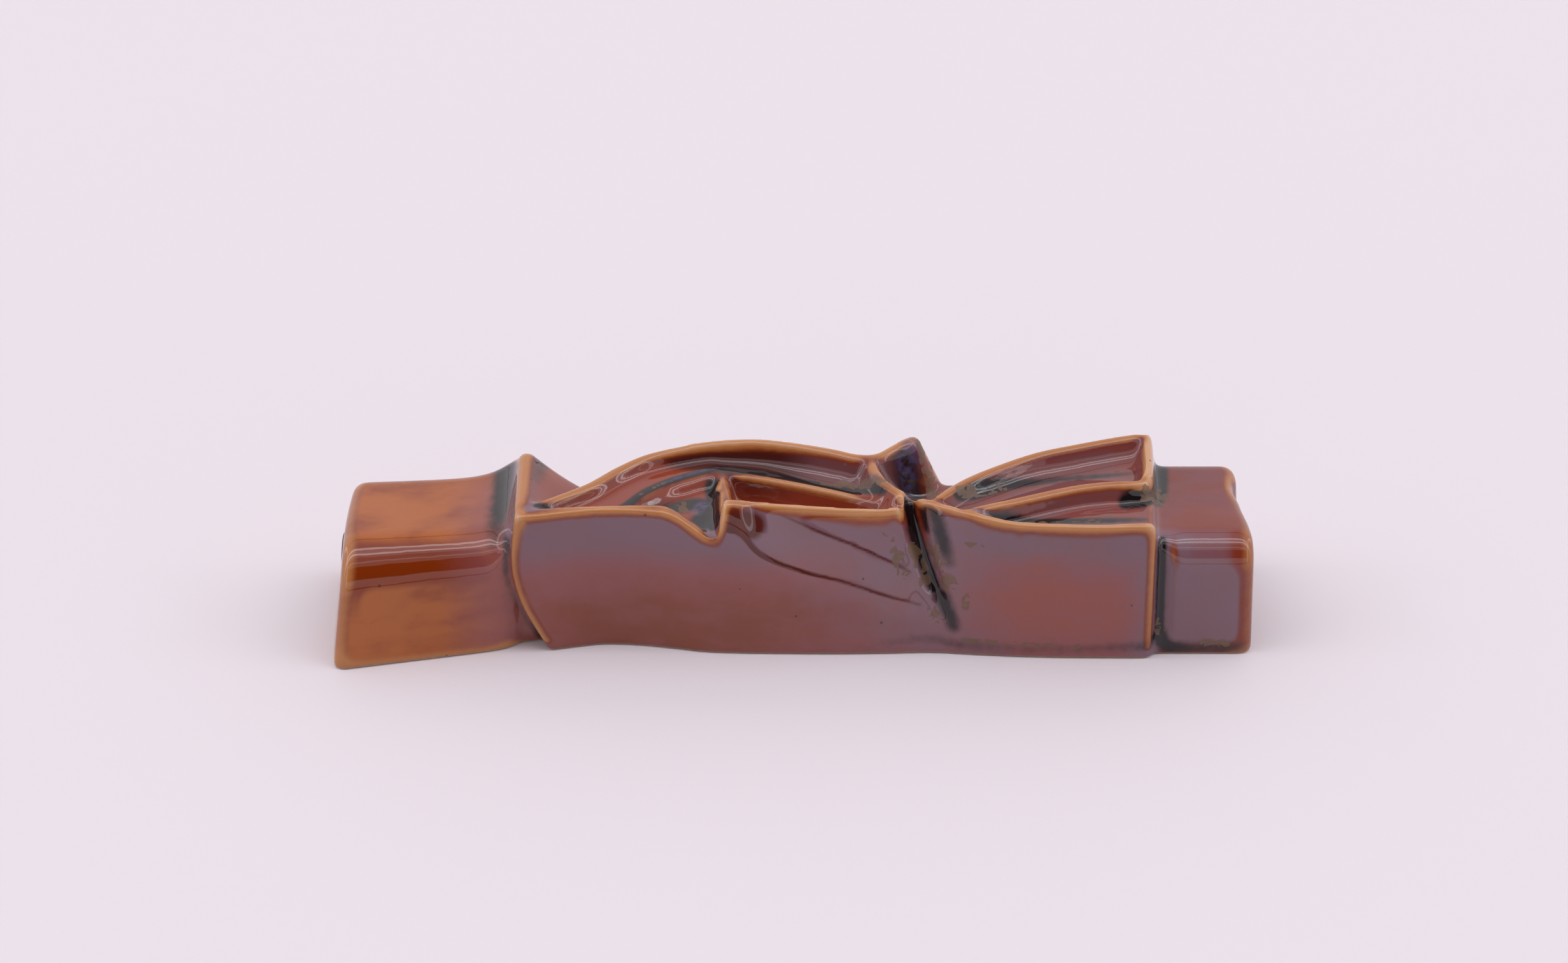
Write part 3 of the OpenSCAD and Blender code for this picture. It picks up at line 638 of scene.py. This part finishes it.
class Material(Nodes):
    """Procedural material whose textures are placed and sized in millimetres of the piece."""

    def __init__(self, name):
        self.material = bpy.data.materials.new(name)
        self.material.use_nodes = True
        super().__init__(self.material.node_tree)
        self.surface = self.tree.nodes["Principled BSDF"]
        coordinates = self.add("TexCoord").outputs["Object"]
        self.place = self.vector("MULTIPLY", coordinates, (1 / MM,) * 3)
        self.x, self.y, self.z = self.add("SeparateXYZ", {0: self.place}).outputs

    def noise(self, size, detail=3.0, stretch=(1, 1, 1), seed=0.0, warp=0.0):
        """Value from 0 to 1 that wanders over about that many millimetres."""
        place = self.vector("MULTIPLY", self.place, tuple(s / size for s in stretch))
        place = self.vector("ADD", place, (seed, 1.7 * seed, 2.3 * seed))
        inputs = {"Vector": place, "Scale": 1.0, "Detail": detail, "Distortion": warp}
        return self.add("TexNoise", inputs).outputs[0]

    def cells(self, size, seed=0.0):
        """Distance from the nearest of scattered points about that far apart, as a share of it."""
        place = self.vector("ADD", self.vector("MULTIPLY", self.place, (1 / size,) * 3), (seed,) * 3)
        return self.add("TexVoronoi", {"Vector": place, "Scale": 1.0}).outputs["Distance"]

    def zone(self, centre, radii, wander=0.25, size=3.0, soft=0.35):
        """1 inside an ellipsoid with an irregular outline, 0 outside it."""
        away = self.vector("DIVIDE", self.vector("SUBTRACT", self.place, centre), radii)
        distance = self.vector("LENGTH", away, result=1)
        outline = self.math("MULTIPLY_ADD", self.noise(size, seed=centre[0]), 4 * wander, -2 * wander)
        return self.between(self.math("ADD", distance, outline), 1 + soft, 1 - soft)

    def attribute(self, name):
        return self.add("Attribute", attribute_name=name).outputs["Fac"]

    def either(self, *amounts):
        total = amounts[0]
        for amount in amounts[1:]:
            total = self.math("MAXIMUM", total, amount)
        return total

    def times(self, *values):
        total = values[0]
        for value in values[1:]:
            total = self.math("MULTIPLY", total, value)
        return total

    def inverse(self, amount):
        return self.math("SUBTRACT", 1.0, amount)

    def bump(self, height, depth, below=None):
        """Relief of the height value, depth millimetres from 0 to 1."""
        inputs = {"Height": height, "Distance": depth * MM, "Strength": 1.0}
        if below is not None:
            inputs["Normal"] = below
        return self.add("Bump", inputs).outputs[0]

    def finish(self, colour, roughness, normal=None, **uniform):
        self.put(self.surface.inputs["Base Color"], colour)
        self.put(self.surface.inputs["Roughness"], roughness)
        if normal is not None:
            self.put(self.surface.inputs["Normal"], normal)
        for name, value in uniform.items():
            self.surface.inputs[name.replace("_", " ")].default_value = value
        return self.material


# Colours of the glaze by how thick it lies, of what shows through or floats in it, and of reflections
# painted on it
TAN = (0.42, 0.165, 0.05)
HONEY = (0.37, 0.095, 0.012)
AMBER = (0.19, 0.025, 0.002)
RUST = (0.20, 0.04, 0.035)
MAUVE = (0.165, 0.037, 0.042)
# painted reflections of the pale floor over the near side: grey, rose, and warm where the glaze shows
# warmer
GREY_REFLECTION = (0.19, 0.108, 0.135)
ROSE_REFLECTION = (0.255, 0.08, 0.086)
WARM_GLAZE_AND_REFLECTION = (0.28, 0.075, 0.055)
LOW_RUST = (0.20, 0.045, 0.014)
# painted dark reflection, for the dark lines and band mirrored in the flap
DARK_REFLECTION_BROWN = (0.085, 0.014, 0.009)
PIT = (0.25, 0.034, 0.008)
# painted reflections: dark in the middle of the arch's wall, pale at its ends, and mauve in the petals
ARCH_DARK_REFLECTION = (0.04, 0.007, 0.006)
ARCH_PALE_REFLECTION = (0.14, 0.055, 0.06)
PETAL_REFLECTION = (0.17, 0.07, 0.075)
SLATE = (0.010, 0.006, 0.007)
PALE_TAN = (0.55, 0.29, 0.14)
CRYSTAL = (0.10, 0.052, 0.026)
PALE_CRYSTAL = (0.18, 0.105, 0.055)
RAINBOW = [(0.3, (0.17, 0.05, 0.12)), (0.45, (0.10, 0.05, 0.19)), (0.55, (0.05, 0.09, 0.17)),
           (0.65, (0.15, 0.10, 0.06))]
CLAY = (0.62, 0.47, 0.33)
DARK_CLAY = (0.50, 0.37, 0.26)


def honey_glaze(m, rust, cloud):
    """Glaze on the lower block: clouded honey, a painted dark reflection along its rounded near edge, and
    towards the relief a painted rose reflection on its near part and rust on its far part.
    """
    honey = m.mix(m.between(cloud, 0.25, 0.6, 0.25, 1), AMBER, HONEY)
    # painted dark reflection: amber along the rounded near edge
    near_edge = m.times(m.between(m.y, -7.5, -9.5), m.between(m.z, 7, 12))
    honey = m.mix(m.times(m.between(m.attribute("swell"), 0.04, 0.13), near_edge), honey, AMBER)
    # painted rose reflection on the near part towards the relief, rust on the far part
    far = m.between(m.y, 3, 9)
    return m.mix(m.between(m.x, -50, -40, 0, 0.75), honey, m.mix(far, ROSE_REFLECTION, rust))


def in_recesses(m):
    """1 on the walls and floors of the relief's recesses."""
    deep = m.times(m.between(m.z, 21.6, 20.6), m.between(m.z, 14, 16), m.between(m.y, -11, -9.5))
    ends = m.times(m.between(m.x, -37, -35), m.between(m.x, 51, 50))
    return m.times(deep, ends, m.inverse(m.attribute("far_side")))


def recess_glaze(m, cloud):
    """Glaze in the recesses: amber in the pits, a painted dark reflection on the arch's wall with pale
    painted reflections at its ends, and a painted mauve reflection clouded over the petals.
    """
    arch = m.between(m.math("MULTIPLY_ADD", m.x, 0.19, m.y), 1.2, 3.4)
    # painted reflections on the arch's wall: dark in the middle, pale at the two ends
    arch_wall_reflection = m.mix(m.either(m.between(m.x, -26, -31), m.between(m.x, -2, 5)), ARCH_DARK_REFLECTION, ARCH_PALE_REFLECTION)
    in_petals = m.times(m.between(m.x, 19, 23), m.between(cloud, 0.3, 0.6, 0.45, 0.9))
    return m.mix(m.times(arch, m.between(m.x, 19, 17)), m.mix(in_petals, PIT, PETAL_REFLECTION), arch_wall_reflection)


def near_side_reflection(m, cloud):
    """Colour of the painted reflection of the pale floor over the near side: mauve-grey, with two warm
    patches where the glaze shows warmer through it.
    """
    low = m.zone((-15, -11, 4.5), (26, 7, 7), 0.3, 6, 0.8)
    right = m.zone((36, -13, 8.5), (11, 5, 7), 0.35, 5, 0.7)
    warm = m.times(m.either(low, right), m.between(cloud, 0.3, 0.6, 0.6, 1))
    round_flute = m.zone((17, -10, 12), (13, 7, 13), 0.2, 8, 0.8)
    grey = m.either(round_flute, m.between(m.z, 11, 18), m.between(m.x, 45, 50))
    return m.mix(m.times(warm, 0.9), m.mix(grey, ROSE_REFLECTION, GREY_REFLECTION), m.mix(low, WARM_GLAZE_AND_REFLECTION, LOW_RUST))


def flat_glaze(m, rim, broad, cloud):
    """Glaze away from the rims: honey on the lower block, rust elsewhere, a painted reflection of the pale
    floor on the near side.
    """
    rust = m.mix(m.between(broad, 0.35, 0.65), RUST, MAUVE)
    rust = m.mix(m.between(cloud, 0.35, 0.7, 0.0, 0.7), rust, AMBER)
    lower_block = m.between(m.math("MULTIPLY_ADD", m.z, 0.28, m.x), -34.4, -36)
    flat = m.mix(lower_block, rust, honey_glaze(m, rust, cloud))
    flat = m.mix(m.times(in_recesses(m), 0.85), flat, recess_glaze(m, cloud))
    swell = m.attribute("swell")
    # painted reflection of the pale floor on the near side, kept off the rims and rounded edges, which
    # mirror darker parts
    clear_of_rims = m.mix(m.between(m.x, 51, 52), m.between(rim, 0.1, 0.04), m.between(swell, 0.26, 0.14))
    floor_reflection = m.times(m.inverse(lower_block), m.between(m.y, -6.5, -9), clear_of_rims)
    floor_reflection = m.times(floor_reflection, m.between(broad, 0.2, 0.6, 0.8, 0.97))
    flat = m.mix(floor_reflection, flat, near_side_reflection(m, cloud))
    # painted dark reflections on the flap, read from the 'clear' attribute
    return m.mix(m.between(m.attribute("clear"), 0.1, 0.6), flat, DARK_REFLECTION_BROWN)


def rim_glaze(m):
    """How sharply the surface turns out, left out where the flute and the outlet run on without a rim."""
    in_flute = m.zone((16.5, -8.5, 13), (3.6, 5, 7), 0.05, 3, 0.3)
    in_outlet = m.zone((51, -6, 17.3), (2.5, 5.2, 1.6), 0.05, 3, 0.2)
    return m.times(m.attribute("rim"), m.between(m.z, 0.8, 2), m.inverse(m.either(in_flute, in_outlet)))


def thin_glaze(m, rim, fine):
    """How much the glaze thins to tan: over the rims, and more widely over the ends' edges."""
    over_rims = m.between(m.math("MULTIPLY_ADD", fine, 0.03, rim), 0.08, 0.2)
    swell = m.math("MULTIPLY_ADD", fine, 0.08, m.attribute("swell"))
    lower_edge = m.times(m.between(m.x, -36, -37), m.between(swell, 0.3, 0.6))
    upper_end = m.times(m.between(m.x, 60, 62), m.between(swell, 0.38, 0.75, 0, 0.55))
    return m.either(over_rims, lower_edge, upper_end)


def bare_clay(m):
    """1 on the unglazed back and in the bore."""
    across = m.add("CombineXYZ", {1: m.y, 2: m.math("SUBTRACT", m.z, BORE_AXIS_Z)}).outputs[0]
    in_bore = m.between(m.vector("LENGTH", across, result=1), BORE_RADIUS + 0.35, BORE_RADIUS + 0.15)
    in_bore = m.times(in_bore, m.between(m.x, BLIND_END + 2, BLIND_END + 1))
    return m.either(in_bore, m.between(m.z, 0.35, 0.15))


def make_glaze():
    """Toffee glaze: tan where it runs thin over a rim, slate where it pools and in some painted dark
    reflections and shade, clay where there is none.
    """
    m = Material("toffee_glaze")
    broad = m.noise(13, 3, seed=1.0)
    cloud = m.noise(5, 4, stretch=(0.6, 1, 1.4), seed=2.0)
    fine = m.noise(1.1, 3, seed=3.0)
    grain = m.noise(0.5, 3, seed=6.0)

    rim = rim_glaze(m)
    thin = thin_glaze(m, rim, fine)
    colour = m.mix(m.between(rim, 0.03, 0.11, 0, 0.7), flat_glaze(m, rim, broad, cloud), AMBER)
    colour = m.mix(thin, colour, m.mix(m.between(rim, 0.16, 0.3), TAN, PALE_TAN))
    # slate where the glaze pools, as painted dark reflection in the flute and crest, and as painted shade
    # along the foot
    pool = m.math("MULTIPLY_ADD", m.math("SUBTRACT", fine, 0.5), 0.2, m.attribute("pool"))
    colour = m.mix(m.times(m.between(pool, 0.12, 0.62), m.inverse(thin)), colour, SLATE)
    rainbow = m.times(m.between(m.attribute("rainbow"), 0.25, 0.9), m.between(fine, 0.3, 0.6))
    film = m.ramp(m.noise(1.3, 2, seed=9.0, warp=1.0), RAINBOW)
    colour = m.mix(m.times(rainbow, 0.6), colour, film)
    crystals = m.times(m.attribute("crystals"), m.between(m.noise(1.7, 3, seed=4.0, warp=0.8), 0.35, 0.6))
    crystals = m.between(crystals, 0.34, 0.37)
    colour = m.mix(m.times(crystals, 0.8), colour, m.mix(grain, CRYSTAL, PALE_CRYSTAL))
    specks = m.between(m.cells(6, seed=5.0), 0.045, 0.035)
    colour = m.mix(m.times(specks, 0.6), colour, SLATE)
    raw = bare_clay(m)
    colour = m.mix(raw, colour, m.mix(m.noise(0.8, 4), CLAY, DARK_CLAY))

    roughness = m.math("MULTIPLY_ADD", fine, 0.04, 0.02)
    roughness = m.either(roughness, m.times(crystals, 0.42), m.times(raw, 0.85))
    ripple = m.bump(m.noise(5, 2, seed=8.0), 0.07)
    texture = m.math("ADD", m.times(crystals, grain, 0.5), m.times(raw, fine))
    return m.finish(colour, roughness, m.bump(texture, 0.05, ripple), IOR=1.55)


def make_rubber():
    """Matt grey rubber, a little dusty."""
    m = Material("grey_rubber")
    dust = m.noise(1.6, 4)
    colour = m.mix(dust, (0.035, 0.034, 0.034), (0.075, 0.072, 0.07))
    pores = m.noise(0.25, 3, seed=2.0)
    return m.finish(colour, m.between(dust, 0.2, 0.8, 0.5, 0.72), m.bump(pores, 0.03))


def make_parchment():
    """Blank cream parchment with faint veins."""
    m = Material("scraped_parchment")
    veins = m.noise(7, 5, stretch=(0.4, 1, 1), warp=1.2)
    grain = m.noise(0.35, 4, seed=3.0)
    colour = m.mix(m.between(veins, 0.3, 0.7), (0.76, 0.64, 0.44), (0.62, 0.48, 0.29))
    colour = m.mix(m.times(grain, 0.3), colour, (0.86, 0.77, 0.60))
    roughness = m.between(veins, 0.3, 0.7, 0.55, 0.7)
    return m.finish(colour, roughness, m.bump(grain, 0.04), Subsurface_Weight=0.15, Subsurface_Scale=MM)


def make_film():
    """Clear film with streaks along the roll."""
    m = Material("clear_film")
    streaks = m.noise(1.2, 3, stretch=(0.15, 1, 1))
    colour = m.mix(streaks, (0.95, 0.97, 0.97), (0.88, 0.92, 0.93))
    roughness = m.between(streaks, 0.3, 0.7, 0.04, 0.16)
    return m.finish(colour, roughness, m.bump(streaks, 0.03), Transmission_Weight=0.95, IOR=1.45)


# ---------------------------------------------------------------- camera, floor and light

CAMERA_DISTANCE = 650.0
CAMERA_ELEVATION = math.radians(32.0)
CAMERA_PITCH = math.radians(30.4)     # the camera looks a little over the case
CAMERA_X = -1.0
LENS = 104.9
SENSOR = 36.0
FLOOR_WIDTH = 3200.0


def make_camera():
    """The camera looks along +Y and down at the case's front and near side."""
    data = bpy.data.cameras.new("camera")
    data.lens = LENS
    data.sensor_width = SENSOR
    camera = bpy.data.objects.new("camera", data)
    camera.location = Vector((CAMERA_X, -CAMERA_DISTANCE * math.cos(CAMERA_ELEVATION),
                              CAMERA_DISTANCE * math.sin(CAMERA_ELEVATION))) * MM
    camera.rotation_euler = (math.pi / 2 - CAMERA_PITCH, 0, 0)
    bpy.context.collection.objects.link(camera)
    bpy.context.scene.camera = camera


def make_floor():
    """Pale table on which the case lies."""
    m = Material("pale_table")
    tone = m.noise(120, 2)
    colour = m.mix(tone, (0.735, 0.695, 0.725), (0.725, 0.685, 0.715))
    table = m.finish(colour, m.between(tone, 0, 1, 0.75, 0.85))
    half = FLOOR_WIDTH / 2
    corners = [(-half, -half, 0), (half, -half, 0), (half, half, 0), (-half, half, 0)]
    new_object("floor", corners, [(0, 1, 2, 3)], table)


# Brightness of the studio by angle, in degrees from the front horizon over the zenith to the back horizon
STUDIO_BANDS = [(0, 0.05), (1, 0.05), (3, 0.85), (20, 0.9), (50, 0.7), (57.4, 0.7), (58, 1.7), (60, 1.7),
                (60.6, 0.6), (70.4, 0.6), (71, 1.8), (72, 1.8), (72.6, 0.7), (75, 1.2), (76, 4.5),
                (79, 4.5), (80, 1.6), (87, 1.6), (88, 4.5), (91.5, 4.5), (92.5, 1.0), (116, 0.9),
                (116.8, 0.05), (118.8, 0.05), (119.6, 0.9), (180, 0.9)]
BRIGHTEST = 5.0


def make_world():
    """White studio as the glaze mirrors it: bright strips and thin lines overhead, a dark opening in front,
    and a bright strip at each side."""
    world = bpy.data.worlds.new("studio")
    world.use_nodes = True
    bpy.context.scene.world = world
    n = Nodes(world.node_tree)
    x, y, z = n.add("SeparateXYZ", {0: n.add("TexCoord").outputs["Generated"]}).outputs
    angle = n.math("DEGREES", n.math("ARCTAN2", z, n.math("MULTIPLY", y, -1.0)))
    stops = [(degrees / 180, brightness / BRIGHTEST) for degrees, brightness in STUDIO_BANDS]
    light = n.math("MULTIPLY", n.ramp(n.math("DIVIDE", angle, 180.0), stops), BRIGHTEST)
    aside = n.math("ABSOLUTE", x)
    opening = n.math("MULTIPLY", n.between(angle, 20.5, 21.5), n.between(angle, 50.5, 49.5))
    opening = n.math("MULTIPLY", opening, n.between(aside, 0.72, 0.70))
    light = n.math("MULTIPLY", light, n.math("MULTIPLY_ADD", opening, -0.97, 1.0))
    side_strip = n.math("MULTIPLY", n.between(aside, 0.80, 0.81), n.between(aside, 0.86, 0.85))
    light = n.math("MULTIPLY_ADD", side_strip, 1.5, light)
    background = world.node_tree.nodes["Background"]
    n.put(background.inputs["Strength"], light)
    background.inputs["Color"].default_value = (1.0, 0.955, 1.0, 1.0)


# ---------------------------------------------------------------- putting it together

def place(piece, body, node, slot):
    """The piece rides on the body and stands for the CAD node; slot is not used."""
    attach(piece, body)
    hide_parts(node)


make_camera()
make_world()
make_floor()
place(make_case(make_glaze()), "case", "case_body", "glaze")
place(make_stopper(make_rubber()), "stopper", "stopper", "stopper_rubber")
place(make_scroll(make_parchment()), "scroll", "parchment_scroll", "parchment")
place(make_sleeve(make_film()), "scroll", "scroll_sleeve", "clear_film")
bpy.context.scene.view_settings.view_transform = "Standard"
